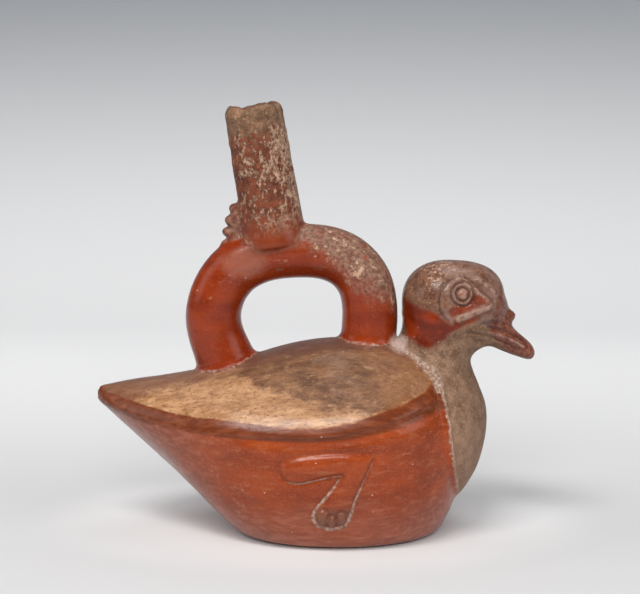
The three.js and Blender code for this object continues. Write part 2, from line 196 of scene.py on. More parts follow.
def hull_raw(x, y, z, grow):
    """The hull's wall and its roof as two fields. grow is negative for the chamber inside it."""
    angle, lip_radius, share = wall_share(x, y, z)
    t = np.clip(share, 0, 1)
    c, s = np.cos(angle), np.sin(angle)
    tail = np.clip(-c, 0, None) ** 3
    base = BASE_LENGTH * BASE_WIDTH / np.hypot(BASE_WIDTH * c, BASE_LENGTH * s)
    power = 2.15 - 1.15 * tail
    out = (1 - (1 - t) ** power) ** (1 / power)
    belly = 5.2 * np.clip(c, 0, None) ** 2 * np.sin(math.pi * t)
    wall = base + (lip_radius - base) * out + belly + grow * (1 + 1.6 * tail)
    if grow == 0:
        edge = (1 - tail) * (0.35 + 0.65 * step_up(s, 0.2, 0.8))
        groove = 0.945 + 0.03 * step_up(x, 0, 30)
        depth = 1.5 * step_up(x, -54, -16)
        width = np.where(share > groove, 0.024, 0.055)
        wall = wall + edge * (0.45 * bell(share - 1.0, 0.035) - depth * bell(share - groove, width))
    side = np.hypot(x - BASE_X, y) - wall
    across = np.clip(np.abs(y) / np.maximum(wing_half_width(x), 0.5), 0, 1)
    lip = lip_height(x)
    roof = lip + (back_height(x) - lip) * (1 - across**2.4) ** 1.12 + grow
    return side, z - roof


def hull(x, y, z, grow=0.0):
    side = evened(lambda *p: hull_raw(*p, grow)[0], x, y, z)
    roof = evened(lambda *p: hull_raw(*p, grow)[1], x, y, z)
    rounding = 1.2 + 2.6 * step_up(x, -84, -58) if grow == 0 else 0.5
    return smooth_max(smooth_max(side, roof, rounding), -grow - z, 2.6 if grow == 0 else 0.8)


# ---- breast, neck, head and bill

breast_front = curve_through([
    (11, 54), (15, 58.2), (19.3, 61.4), (27.6, 65.4), (38, 68), (46, 68.6),
    (52.3, 67.8), (60.5, 65), (66, 62.8), (70, 61.8), (76, 63), (86, 66),
])
breast_rear = curve_through(
    [(11, 38), (31, 28), (52, 22), (70, 28), (77, 31.6), (84, 35.6), (86, 36.8)]
)
breast_width = curve_through([
    (11, 5), (15, 12), (22, 19), (31, 26), (43, 28.8),
    (52, 27.4), (60, 23.4), (68, 18.6), (75, 15.6), (86, 15),
])


def breast(x, y, z, grow=0.0):
    def raw(x, y, z):
        mid = (breast_front(z) + breast_rear(z)) / 2
        reach = np.maximum((breast_front(z) - breast_rear(z)) / 2 + grow, 1)
        side = np.maximum(breast_width(z) + grow, 1)
        return (np.hypot((x - mid) / reach, y / side) - 1) * np.minimum(reach, side)

    ends = np.maximum(BREAST_LOW - grow - z, z - NECK_TOP)
    return smooth_max(evened(raw, x, y, z), ends, 1.0)


def head(x, y, z, grow=0.0):
    def raw(x, y, z):
        s = (x - HEAD_X) / (HEAD_LENGTH + grow)
        power = np.where(s > 0, 2.8, 2.2)
        wide = (HEAD_WIDTH + grow) * np.where(s > 0, 1 - 0.18 * np.clip(s, 0, 1) ** 2, 1)
        mid = HEAD_Z - 0.06 * (x - HEAD_X)
        ring = np.hypot(y / wide, (z - mid) / (HEAD_HEIGHT + grow))
        return ((np.abs(s) ** power + ring**power) ** (1 / power) - 1) * HEAD_WIDTH

    return evened(raw, x, y, z)


bill_top = curve_through(
    [(0, 9.4), (7, 8.2), (11.4, 7.1), (16.2, 5.4), (22.3, 3.8), (25, 2.2), (BILL_LENGTH, 0.4)]
)
bill_bottom = curve_through(
    [(0, -4.2), (4, -4.7), (8.4, -4.3), (14.2, -4.1), (20, -3.6), (25, -2.6), (BILL_LENGTH, -1.2)]
)
bill_width = curve_through(
    [(0, 11), (8, 9.2), (14, 7.8), (20, 6.8), (23.5, 5.6), (25.6, 3.4), (BILL_LENGTH, 1)]
)


def bill_frame(x, z):
    """Along the bill, and above its own axis."""
    c, s = math.cos(BILL_TILT), math.sin(BILL_TILT)
    return (x - BILL_X) * c - (z - BILL_Z) * s, (x - BILL_X) * s + (z - BILL_Z) * c


def bill(x, y, z):
    def raw(x, y, z):
        along, up = bill_frame(x, z)
        mid = (bill_top(along) + bill_bottom(along)) / 2
        high = np.maximum((bill_top(along) - bill_bottom(along)) / 2, 0.5)
        wide = np.maximum(bill_width(along), 0.5)
        ring = ((np.abs(y) / wide) ** 2.3 + (np.abs(up - mid) / high) ** 2.3) ** (1 / 2.3)
        return (ring - 1) * np.minimum(high, wide)

    along, _ = bill_frame(x, z)
    return smooth_max(evened(raw, x, y, z), np.maximum(-along, along - BILL_LENGTH), 1.5)


def ball(x, y, z, centre, sizes):
    """Distance to a ball stretched to three half sizes."""
    cx, cy, cz = centre
    rx, ry, rz = sizes
    ring = np.sqrt(((x - cx) / rx) ** 2 + ((y - cy) / ry) ** 2 + ((z - cz) / rz) ** 2)
    steep = np.sqrt(
        ((x - cx) / rx**2) ** 2 + ((y - cy) / ry**2) ** 2 + ((z - cz) / rz**2) ** 2
    )
    return ring * (ring - 1) / np.maximum(steep, 1e-6)


# ---- stirrup, spout and lug

STIRRUP_KEYS = np.array([
    (-33, 58), (-37.5, 71), (-41, 81), (-41.6, 89.5), (-38.6, 99),
    (-32, 107), (-21, 112.2), (-8, 113.7), (4, 112.8), (12.9, 108.7),
    (18.8, 101.3), (21.1, 92), (21, 82), (19.8, 71), (18, 60.0),
])
_chords = np.concatenate([[0], np.cumsum(np.linalg.norm(np.diff(STIRRUP_KEYS, axis=0), axis=1))])
_samples = np.linspace(0, _chords[-1], 56)
STIRRUP_LINE = np.stack(
    [curve_through(list(zip(_chords, STIRRUP_KEYS[:, k])))(_samples) for k in (0, 1)], 1
)


def stirrup(x, y, z, radius=None):
    flat, where = to_polyline(STIRRUP_LINE, x, z)
    if radius is None:
        over = np.sin(math.pi * where) ** 4
        radius = STIRRUP_RADIUS + (STIRRUP_TOP_RADIUS - STIRRUP_RADIUS) * over
        radius = radius + 0.7 * bell(where - 0.07, 0.05)
    return np.hypot(flat, y) - radius


SPOUT_AXIS = (SPOUT_RIM - SPOUT_FOOT) / np.linalg.norm(SPOUT_RIM - SPOUT_FOOT)
SPOUT_LENGTH = float(np.linalg.norm(SPOUT_RIM - SPOUT_FOOT))


def spout_frame(x, y, z):
    """Along the leaning spout, away from its axis, and round it from the head's side."""
    px, pz = x - SPOUT_FOOT[0], z - SPOUT_FOOT[1]
    along = px * SPOUT_AXIS[0] + pz * SPOUT_AXIS[1]
    across = px * SPOUT_AXIS[1] - pz * SPOUT_AXIS[0]
    return along, np.hypot(across, y), np.arctan2(y, across)


def rim_height(turn):
    """The worn rim, highest a little to each side of its front."""
    waves = 0.55 * np.sin(2 * turn + 1.2) + 0.35 * np.sin(5 * turn + 0.4) + 0.18 * np.sin(11 * turn)
    return SPOUT_LENGTH + waves - 1.8 * bell(turn + 0.1, 0.45) - 0.9 * bell(turn + 1.95, 0.28)


def spout(x, y, z):
    along, away, turn = spout_frame(x, y, z)
    u = np.clip(along / SPOUT_LENGTH, 0, 1)
    radius = SPOUT_FOOT_RADIUS + (SPOUT_RIM_RADIUS - SPOUT_FOOT_RADIUS) * u + 1.1 * bell(u, 0.16)
    radius = radius - 0.9 * step_up(u, 0.93, 1.0) ** 2
    return smooth_max(away - radius, np.maximum(along - rim_height(turn), 3.5 - along), 2.2)


def lug(x, y, z):
    """A worn fin behind the spout's foot, with a toothed edge towards the tail."""
    out = ball(x, y, z, LUG, LUG_SIZES)
    for tooth_x, tooth_z in LUG_TEETH:
        out = smooth_min(out, ball(x, y, z, (tooth_x, 0, tooth_z), TOOTH_SIZES), 1.0)
    return out


# ---- the vessel's field


def outer_field(x, y, z):
    """Distance to the vessel's outside as if it were solid."""
    neck_and_head = smooth_min(breast(x, y, z), head(x, y, z), NECK_FILLET)
    neck_and_head = smooth_min(neck_and_head, bill(x, y, z), BILL_FILLET)
    boss = smooth_min(ball(x, y, z, BOSS, BOSS_SIZES), ball(x, y, z, BOSS_TIP, BOSS_TIP_SIZES), 1.2)
    boss = smooth_min(boss, ball(x, y, z, BRIDGE, BRIDGE_SIZES), BOSS_FILLET)
    neck_and_head = smooth_min(neck_and_head, boss, BOSS_FILLET)
    body = smooth_min(hull(x, y, z), stirrup(x, y, z), STIRRUP_FILLET)
    body = smooth_min(body, neck_and_head, BREAST_FILLET)
    body = smooth_min(body, smooth_min(spout(x, y, z), lug(x, y, z), LUG_FILLET), SPOUT_FILLET)
    # Hand-made: the walls wander a little.
    wander = 0.16 * lattice_noise(x, y, z, 17.0, 3) + 0.07 * lattice_noise(x, y, z, 6.5, 5)
    return np.maximum(body - wander * step_up(z, 1, 8), -z)


def inner_field(x, y, z):
    """Distance to the empty space: chamber, channel and bore."""
    space = np.minimum(hull(x, y, z, -WALL), stirrup(x, y, z, CHANNEL_RADIUS))
    space = np.minimum(space, np.minimum(breast(x, y, z, -WALL), head(x, y, z, -WALL)))
    along, away, turn = spout_frame(x, y, z)
    flare = 0.8 * step_up(along, SPOUT_LENGTH - 5, SPOUT_LENGTH)
    bore = np.maximum(away - BORE_RADIUS - flare, -4 - along)
    return smooth_min(space, bore, 1.5)


def clay_field(x, y, z):
    return smooth_max(outer_field(x, y, z), -inner_field(x, y, z), 1.0)


# ---- carving
# Lines and outlines are drawn on the side view, as x and z in mm.

ORBIT = [
    (56.2, 104.9), (53.6, 104.4), (51.0, 102.9), (48.7, 100.0),
    (47.8, 95.4), (48.7, 91.0), (50.6, 88.7), (52.8, 87.2),
]
LID = [(53.8, 103.6), (57.3, 103.9), (60.4, 101.6), (64.0, 97.7), (68.3, 94.3)]
BROW_GROOVE = [(55.6, 105.4), (60.0, 104.0), (64.6, 100.4), (67.4, 97.4), (70.6, 94.6)]
BROW = [(62.6, 104.4), (67.6, 100.4), (71.4, 96.6)]
CHEEK_BAR = [(54.2, 87.6), (59.7, 90.0), (65.2, 92.3), (69.8, 93.2)]
CHEEK_GROOVE = [(53.6, 85.9), (60.0, 88.2), (66.4, 90.6), (70.6, 91.2)]
LORE_GROOVE = [(58.4, 98.6), (63.2, 94.0), (67.6, 93.4)]
GAPE = [(60.0, 82.6), (64.4, 81.6), (68.8, 80.2), (75.8, 77.2), (83.0, 73.4), (88.5, 69.8)]
TOMIUM = [(66.8, 83.0), (73.2, 80.8), (78.6, 78.2), (83.8, 74.9)]
UPPER_GROOVE = [(66.8, 85.4), (73.0, 83.5), (78.6, 81.0), (83.6, 77.6)]
BILL_ROOT = [
    (72.8, 85.6), (69.6, 87.0), (65.4, 86.2), (61.4, 84.0),
    (60.2, 81.0), (63.0, 78.6), (66.4, 77.4),
]
FACE_LINES = (  # a route, its width, and its height: negative where it is cut in
    (ORBIT, 0.6, -0.65),
    (LID, 0.9, 0.85),
    (BROW_GROOVE, 0.65, -0.6),
    (BROW, 1.1, 0.75),
    (CHEEK_BAR, 1.6, 1.1),
    (CHEEK_GROOVE, 0.7, -0.55),
    (LORE_GROOVE, 0.8, -0.5),
    (GAPE, 0.5, -0.8),
    (TOMIUM, 0.8, 0.75),
    (UPPER_GROOVE, 0.65, -0.65),
    (BILL_ROOT, 0.9, -0.7),
)
FINEST_LINES = (
    ORBIT, LID, BROW_GROOVE, CHEEK_BAR, CHEEK_GROOVE, GAPE, TOMIUM, UPPER_GROOVE, BILL_ROOT
)
PUPIL = 2.2
EYE_RINGS = ((2.6, -0.75, 0.42), (3.5, 0.6, 0.55), (4.55, -0.85, 0.5))  # radius, height, width
TOES = ((2.9, 15.0, 2.2, 3.2), (6.4, 13.2, 1.9, 2.7), (10.0, 14.4, 2.0, 3.0))  # x, z, half sizes
LUG_RIB = [(-30.6, 131.5), (-29.0, 124.0), (-28.2, 116.5)]
SEAM = [(48.4, 63.0), (49.6, 58.6), (51.6, 49.0), (53.2, 37.0), (55.4, 23.0), (57.0, 14.0)]


def leg_outline():
    """The folded leg's outline in arcs of three points: thigh, knee, shank and a round foot."""
    a = np.array((-13.6, 33.2))
    arcs = [
        ((-14, 36.4), (-11, 37.6), (-6, 38.6)),
        ((2, 40.2), (14, 41), (22.2, 39.2)),
        ((21, 35), (18, 30), (15.2, 23)),
        ((14.2, 20.5), (13.9, 18.5), (12.9, 15.6)),
        ((12.2, 12), (9, 10.1), (5.8, 10.2)),
        ((2, 10.4), (-0.6, 12.4), (-0.3, 15.6)),
        ((0.2, 18.6), (3, 20.6), (5, 23.4)),
        ((7.4, 26.6), (9.4, 29.4), (10.6, 32.2)),
        ((8, 32.4), (3, 31.2), (-2, 29.8)),
        ((-6.5, 28.4), (-12.8, 27.8), (-13.6, 33.2)),
    ]
    points = []
    for arc in arcs:
        b, c, d = np.array(arc, float)
        for t in np.linspace(0, 1, 7)[:-1]:
            near_half = a * (1 - t) ** 3 + 3 * b * t * (1 - t) ** 2
            points.append(near_half + 3 * c * t * t * (1 - t) + d * t**3)
        a = d
    return np.array(points + points[:1])


LEG = leg_outline()
CHEEK = np.array([
    (34, 96), (40, 93.5), (46, 91), (50, 88.8), (53, 86.8), (58, 88), (63, 89.8), (68, 91.6),
    (66, 89.4), (61, 86.6), (56, 84.4), (52.6, 82), (50.5, 79.6), (46.5, 77), (42.6, 76),
    (38.5, 78), (36, 81.5), (34.5, 88), (34, 96),
])
EYE_FIELD = np.array([
    (50.2, 92.6), (52.8, 89.0), (58, 91.0), (64, 93.2), (69, 94.6), (65, 97.0),
    (61.6, 98.6), (59, 94.2), (54.6, 93.6), (50.2, 92.6),
])


def inside_outline(outline, x, z):
    """Distance in from a closed outline, negative outside it."""
    d, _ = to_polyline(outline, x, z)
    inside = np.zeros(np.shape(x), bool)
    for (ax, az), (bx, bz) in zip(outline[:-1], outline[1:]):
        crosses = (az > z) != (bz > z)
        at = ax + (z - az) * (bx - ax) / np.where(bz == az, 1, bz - az)
        inside ^= crosses & (x < at)
    return np.where(inside, d, -d)


def carving(x, y, z):
    """How far the surface stands proud of the plain form, negative where it is cut in.

    Also the shares, from 0 to 1, of pale filling, of chipped rim and of dark grime.
    """
    lift = np.zeros(len(x))
    pale = np.zeros(len(x))
    grime_and_shade = np.zeros(len(x))

    def line(points, width, height, region, filled=0.0):
        if not region.any():
            return
        d, where = to_polyline(points, x[region], z[region])
        ends = step_up(where, 0, 0.06) * (1 - step_up(where, 0.94, 1))
        side = step_up(np.abs(y[region]), 1.5, 4)
        lift[region] += height * bell(d, width) * ends * side
        pale[region] = np.maximum(pale[region], filled * bell(d, width * 1.2) * ends * side)

    face = (x > 44) & (z > 74) & (np.abs(y) > 2)
    r = np.hypot(x - EYE_X, z - EYE_Z)
    eye = 1.1 * np.sqrt(np.clip(1 - (r / PUPIL) ** 2, 0, None))
    for radius, height, width in EYE_RINGS:
        eye = eye + height * bell(r - radius, width)
    lift += np.where(face & (r < 7), eye * step_up(np.abs(y), 3, 6), 0)
    for points, width, height in FACE_LINES:
        line(points, width, height, face)

    flank = (np.abs(y) > 15) & (z < 48) & (x > -22) & (x < 32)
    if flank.any():
        fx, fz = x[flank], z[flank]
        d = inside_outline(LEG, fx, fz)
        form = 1.1 * step_up(d, -0.3, 1.4) + 0.6 * step_up(d, 1.0, 4.5) - 0.6 * bell(d + 0.75, 0.6)
        form *= 0.55 + 0.45 * step_up(fz, 46, 40)
        foot = bell(np.hypot(fx - 5.8, fz - 13.4), 6.5)
        form -= 0.6 * foot * step_up(d, 0.2, 1.2)
        grime_and_shade[flank] = step_up(d, -0.6, 0.8) * step_up(fz, 21, 16)
        for toe_x, toe_z, long, high in TOES:
            toe = np.hypot((fx - toe_x) / long, (fz - toe_z) / high)
            form += 1.2 * np.sqrt(np.clip(1 - toe**2, 0, None)) - 0.55 * bell((toe - 1.15) * long, 0.45)
        lift[flank] += form
        below = step_up(fx - fz * 0.9, -45, -34) * step_up(37.5 - fz, -1.5, 1.5)
        fill = 0.95 * bell(d + 0.5, 0.65) * (0.65 + 0.35 * step_up(24 - fz, -8, 4)) * below
        sole = bell(d + 0.6, 0.9) * step_up(18.5 - fz, -3, 3)
        pale[flank] = np.maximum(pale[flank], np.maximum(fill, 0.9 * sole))

    d, where = to_polyline(SEAM, x, z)
    seam = step_up(np.abs(y), 6, 10) * step_up(x, 40, 46) * step_up(z, 12, 20)
    lift += seam * (0.75 * bell(d, 0.85) - 0.4 * bell(d - 1.9, 0.7))
    pale = np.maximum(pale, 0.85 * bell(d, 0.75) * seam)

    # A chip out of the spout's rim, a worn surface below it, the lug's rib and the spout's joint.
    along, away, turn = spout_frame(x, y, z)
    chip = bell(turn + 2.15, 0.26) * bell(along - SPOUT_LENGTH + 2.2, 1.9) * (away > 9.2)
    lift -= 0.75 * chip
    worn = step_up(along, 22, 34) * (away > 9.2) * (away < 15)
    lift += worn * (0.22 * lattice_noise(x, y, z, 2.6, 9) + 0.12 * lattice_noise(x, y, z, 1.5, 11))
    rib = (x < -23) & (z > 112) & (z < 134) & (np.abs(y) > 1.5)
    line(LUG_RIB, 0.9, 0.7, rib, 0.25)
    joint = (z > 104) & (z < 124) & (away > 9)
    lift -= np.where(joint, 0.5 * bell(spout(x, y, z) - stirrup(x, y, z), 0.9), 0)
    return lift, np.clip(pale, 0, 1), chip, grime_and_shade


# ---- the mesh


def surface_net(values, origin, step):
    """A net of quads where a sampled field crosses zero, with one vertex to each cell it crosses."""
    cells = np.array(values.shape) - 1
    total = np.zeros((cells.prod(), 3))
    count = np.zeros(cells.prod())
    quads = []
    for axis in range(3):
        b, c = (axis + 1) % 3, (axis + 2) % 3
        low = np.take(values, range(values.shape[axis] - 1), axis)
        high = np.take(values, range(1, values.shape[axis]), axis)
        at = np.argwhere((low < 0) != (high < 0))
        f0, f1 = low[tuple(at.T)], high[tuple(at.T)]
        point = at.astype(float)
        point[:, axis] += f0 / (f0 - f1)
        ring = []
        for db, dc in ((0, 0), (-1, 0), (-1, -1), (0, -1)):
            cell = at.copy()
            cell[:, b] += db
            cell[:, c] += dc
            index = np.ravel_multi_index(tuple(cell.T), tuple(cells))
            np.add.at(total, index, point)
            np.add.at(count, index, 1)
            ring.append(index)
        ring = np.stack(ring, 1)
        ring[f0 >= 0] = ring[f0 >= 0][:, ::-1]
        quads.append(ring)
    used = np.flatnonzero(count)
    number = np.full(len(count), -1)
    number[used] = np.arange(len(used))
    vertices = total[used] / count[used, None] * step + origin
    return vertices, number[np.concatenate(quads)]


def in_triangles(vertices, quads):
    """Each quad as two triangles, split along its shorter diagonal."""
    p = vertices[quads]
    first = np.linalg.norm(p[:, 0] - p[:, 2], axis=1) <= np.linalg.norm(p[:, 1] - p[:, 3], axis=1)
    q = np.where(first[:, None], quads, quads[:, [1, 2, 3, 0]])
    return np.concatenate([q[:, [0, 1, 2]], q[:, [0, 2, 3]]])


def settle(vertices, field, rounds, reach):
    """Moves vertices onto the field's zero and returns them with the surface's direction."""
    e = 0.12
    v = vertices.copy()
    for turn in range(rounds + 1):
        x, y, z = v.T
        along_x = field(x + e, y, z) - field(x - e, y, z)
        along_y = field(x, y + e, z) - field(x, y - e, z)
        along_z = field(x, y, z + e) - field(x, y, z - e)
        slope = np.stack([along_x, along_y, along_z], 1) / (2 * e)
        size = np.maximum(np.linalg.norm(slope, axis=1, keepdims=True), 0.2)
        if turn < rounds:
            shift = field(x, y, z)[:, None] * slope / size**2
            long = np.linalg.norm(shift, axis=1, keepdims=True)
            v = v - shift * np.minimum(1, reach / np.maximum(long, 1e-9))
    return v, slope / size


def finer(vertices, triangles, target):
    """Splits every edge that is too long for its target, at its middle.

    Returns the number of the first new vertex too.
    """
    edges = np.sort(triangles[:, [[0, 1], [1, 2], [2, 0]]].reshape(-1, 2), axis=1)
    keys, back = np.unique(edges[:, 0] * len(vertices) + edges[:, 1], return_inverse=True)
    a, b = keys // len(vertices), keys % len(vertices)
    middle = (vertices[a] + vertices[b]) / 2
    split = np.linalg.norm(vertices[a] - vertices[b], axis=1) > 1.4 * target(middle)
    number = np.full(len(keys), -1)
    number[split] = len(vertices) + np.arange(split.sum())
    m = number[back.reshape(-1, 3)]
    out = [triangles[(m < 0).all(1)]]
    for k in range(3):
        t, n = np.roll(triangles, -k, 1), np.roll(m, -k, 1)
        one = (n[:, 0] >= 0) & (n[:, 1] < 0) & (n[:, 2] < 0)
        q, w = t[one], n[one, 0]
        out += [np.stack([q[:, 0], w, q[:, 2]], 1), np.stack([w, q[:, 1], q[:, 2]], 1)]
        two = (n[:, 0] >= 0) & (n[:, 1] >= 0) & (n[:, 2] < 0)
        q, w, u = t[two], n[two, 0], n[two, 1]
        out += [np.stack([w, q[:, 1], u], 1), np.stack([q[:, 0], w, u], 1)]
        out += [np.stack([q[:, 0], u, q[:, 2]], 1)]
    every = (m >= 0).all(1)
    q, w = triangles[every], m[every]
    out += [np.stack([q[:, k], w[:, k], w[:, k - 1]], 1) for k in range(3)] + [w]
    return np.concatenate([vertices, middle[split]]), np.concatenate(out), len(vertices)


def fineness(points):
    """The edge length wanted at each point: small where the carving is."""
    x, y, z = points.T
    want = np.full(len(x), 5.0)
    outside = inner_field(x, y, z) > 2.2
    face = outside & (x > 45) & (z > 76) & (np.abs(y) > 3)
    want[face] = 0.85
    eye = face & (np.hypot(x - EYE_X, z - EYE_Z) < 6)
    want[eye] = 0.42
    drawn = face & (x > 46)
    if drawn.any():
        near = np.full(drawn.sum(), 9.0)
        for route in FINEST_LINES:
            near = np.minimum(near, to_polyline(route, x[drawn], z[drawn])[0])
        want[drawn] = np.where(near < 1.3, np.minimum(want[drawn], 0.5), want[drawn])
    flank = outside & (np.abs(y) > 15) & (z < 46) & (x > -18) & (x < 27)
    if flank.any():
        d = to_polyline(LEG, x[flank], z[flank])[0]
        toes = np.hypot(x[flank] - 6.4, z[flank] - 14) < 6.4
        want[flank] = np.where((d < 1.9) | toes, 0.6, want[flank])
    _, _, share = wall_share(x, y, z)
    lip = outside & (share > 0.78) & (share < 1.03) & (x > -80) & (x < 53) & (hull(x, y, z) < 1.5)
    want[lip] = 0.95
    along, away, _ = spout_frame(x, y, z)
    want[(along > SPOUT_LENGTH - 9) & (away < 14)] = 0.75
    want[outside & (along > 24) & (along <= SPOUT_LENGTH - 9) & (away < 14)] = 1.0
    want[outside & (x < -25) & (z > 112) & (z < 136)] = 0.75
    return want


# ---- zones for the colours

NAPE = curve_through([
    (30, 77.5), (36, 78), (42.6, 74.6), (50.5, 78.8), (54.5, 83),
    (58.4, 86), (62.4, 87.4), (66, 85), (70, 80.6), (80, 70),
])
POCKET_X, POCKET_Z = 32.6, 77.8  # the corner between the stirrup's front foot and the neck


def colour_zones(points, lift, pale, chip, grime_and_shade, outside):
    """What the material reads at each point of the uncarved surface.

    A zone is a distance in mm from its border, positive inside. The rest are shares from 0 to 1,
    apart from the carving's height in mm.
    """
    x, y, z = points.T
    _, lip_radius, share = wall_share(x, y, z)
    d_hull, d_stirrup, d_spout = hull(x, y, z), stirrup(x, y, z), spout(x, y, z)
    d_neck = smooth_min(breast(x, y, z), head(x, y, z), NECK_FILLET)
    d_body = np.minimum(d_hull, d_neck)
    along, _, _ = spout_frame(x, y, z)
    bill_along, bill_up = bill_frame(x, z)

    seam_x = np.interp(z, [p[1] for p in SEAM[::-1]], [p[0] for p in SEAM[::-1]])
    on_breast = np.minimum(np.minimum(d_hull, d_stirrup) - d_neck, (x - 30) * 0.6)
    on_breast = np.where(z < 62, np.minimum(np.maximum(on_breast, 0.6), x - seam_x), on_breast)
    panel_inset = 3.8 - 1.9 * bell(x + 1, 22) - 2.2 * step_up(-x, 74, 88)
    on_wing = np.where(share > 0.97, lip_radius - np.hypot(x - BASE_X, y) - panel_inset, -3)
    on_wing = np.minimum(on_wing, (d_stirrup - d_hull) * 0.7 - 0.4)
    on_wing = np.where(d_neck < d_hull, -np.abs(d_hull - d_neck) - 0.2, on_wing)

    # Deposits gather in the corners where two forms meet.
    at_spout_foot = (z > 105) & (z < 124)
    at_stirrup_feet = bell(d_stirrup - d_body, 1.3) * (z < 84)
    collar = bell(d_spout - d_stirrup, 1.0) * at_spout_foot
    wing_front = bell(d_hull - d_neck, 1.7) * (z > 60) * (z < 80)
    pocket = bell(np.hypot(x - POCKET_X, z - POCKET_Z), 3.9)
    creases = [pale, at_stirrup_feet * 0.6, pocket * 0.9, collar * 0.35, wing_front * 0.75]

    return {
        "zone_wing": on_wing,
        "zone_breast": on_breast,
        "zone_head": np.minimum((z - NAPE(x)) * 0.8, d_stirrup - d_neck),
        "zone_cheek": inside_outline(CHEEK, x, z),
        "zone_eye": np.maximum(inside_outline(EYE_FIELD, x, z), 1.5 - np.hypot(x - EYE_X, z - EYE_Z)),
        "zone_bill": np.where(
            x > 58, np.minimum(bill_along - 3.4 + 0.12 * bill_up, 30 - bill_up), -9
        ),
        "zone_stirrup": d_body - d_stirrup,
        "zone_spout": np.minimum(d_stirrup, d_body) - d_spout,
        "zone_lug": np.where(z > 106, np.minimum(d_spout, d_stirrup) - lug(x, y, z), -9),
        "spout_along": along / SPOUT_LENGTH,
        "wing_share": share,
        "carved": lift,
        "pale": np.max(creases, axis=0),
        # Grime on the leg's foot, and painted shade in the crease where the spout meets the stirrup.
        "grime_and_shade": np.maximum(grime_and_shade, 0.7 * bell(d_spout - d_stirrup, 1.6) * at_spout_foot),
        "crown": bell(np.hypot(x - 46.5, z - 106.5), 6.5) + 0.6 * bell(np.hypot(x - 53.5, z - 109.0), 4.0),
        "pocket": pocket,
        "chip": chip,
        "inside": 1.0 - outside,
    }


# ---- the piece's mesh


def build_vessel():
    """The carved vertices, the triangles, and what the material reads at each vertex."""
    axes = [np.arange(a, b, NET_STEP) for a, b in zip(NET_LOW, NET_HIGH)]
    x, y, z = np.meshgrid(*axes, indexing="ij")
    values = clay_field(x.ravel(), y.ravel(), z.ravel()).reshape(x.shape)
    vertices, quads = surface_net(values, NET_LOW, NET_STEP)
    vertices, _ = settle(vertices, clay_field, 2, NET_STEP * 0.5)
    triangles = in_triangles(vertices, quads)
    for _ in range(3):
        vertices, triangles, first = finer(vertices, triangles, fineness)
        vertices[first:], _ = settle(vertices[first:], clay_field, 1, 0.5)
    vertices, direction = settle(vertices, clay_field, 1, 0.3)
    x, y, z = vertices.T
    lift, pale, chip, grime_and_shade = carving(x, y, z)
    outside = inner_field(x, y, z) > 1.5
    lift = np.where(outside, lift, 0)
    carved = vertices + direction * lift[:, None]
    carved[:, 2] = np.maximum(carved[:, 2], 0)
    return carved, triangles, colour_zones(vertices, lift, pale * outside, chip, grime_and_shade, outside)


def mesh_object(name, vertices, triangles):
    mesh = bpy.data.meshes.new(name)
    mesh.vertices.add(len(vertices))
    mesh.vertices.foreach_set("co", (vertices * MM).astype(np.float32).ravel())
    mesh.loops.add(3 * len(triangles))
    mesh.loops.foreach_set("vertex_index", triangles.astype(np.int32).ravel())
    mesh.polygons.add(len(triangles))
    mesh.polygons.foreach_set("loop_start", np.arange(0, 3 * len(triangles), 3, dtype=np.int32))
    mesh.update(calc_edges=True)
    mesh.validate()
    mesh.polygons.foreach_set("use_smooth", np.ones(len(mesh.polygons), bool))
    made = bpy.data.objects.new(name, mesh)
    bpy.context.scene.collection.objects.link(made)
    return made


def set_attribute(mesh, name, values):
    layer = mesh.attributes.new(name, "FLOAT", "POINT")
    layer.data.foreach_set("value", np.asarray(values, np.float32))


# ---- material
# Colours are linear red, green and blue. A pair is blended by noise, from the first to the second.

SLIP = (0.19, 0.029, 0.007), (0.305, 0.048, 0.008)
SLIP_STREAK, SLIP_DUST, SLIP_SHADE = (0.36, 0.115, 0.048), (0.36, 0.16, 0.09), (0.14, 0.028, 0.012)
DULL_SLIP = (0.2, 0.06, 0.036), (0.34, 0.13, 0.085)
DEEP_SLIP = (0.165, 0.015, 0.002), (0.255, 0.029, 0.003)
DEEP_SLIP_DUST = (0.33, 0.1, 0.04)
BUFF = (0.3, 0.14, 0.062), (0.52, 0.285, 0.145)
BROWN = (0.1, 0.041, 0.02), (0.245, 0.114, 0.054)
GREYED_BROWN, WARM_BROWN, SPINE_BROWN = (0.24, 0.145, 0.1), (0.28, 0.115, 0.045), (0.135, 0.048, 0.032)
DARK_SCRATCH, PALE_SCRATCH = (0.12, 0.055, 0.028), (0.55, 0.33, 0.19)
DARK_PATCH, PALE_PATCH = (0.17, 0.085, 0.048), (0.46, 0.27, 0.155)
LIP = (0.108, 0.025, 0.008), (0.178, 0.046, 0.017)
GREY = (0.135, 0.07, 0.04), (0.27, 0.155, 0.095)
GREY_SPECK, GREY_PIT = (0.4, 0.26, 0.175), (0.06, 0.03, 0.02)
GREY_CLOUD, GREY_BELOW = (0.34, 0.2, 0.13), (0.36, 0.215, 0.145)
WASH = (0.09, 0.034, 0.02), (0.195, 0.092, 0.054)
WASH_DUST, WASH_HAZE = (0.32, 0.19, 0.13), (0.27, 0.165, 0.135)
BILL = (0.095, 0.022, 0.012), (0.215, 0.07, 0.04)
BILL_DUST = (0.3, 0.2, 0.155)
CHEEK_RED = (0.115, 0.012, 0.002), (0.215, 0.024, 0.003)
SPOUT_SLIP = (0.085, 0.02, 0.01), (0.215, 0.052, 0.02)
SPOUT_FOOT_RED = (0.205, 0.03, 0.006)
SPOUT_FLAKE = (0.17, 0.085, 0.05), (0.44, 0.28, 0.19)
CRUST = (0.115, 0.062, 0.033), (0.27, 0.155, 0.088)
CRUST_DUST = (0.36, 0.23, 0.14)
LUG_PAINT = (0.13, 0.04, 0.024), (0.27, 0.14, 0.095)
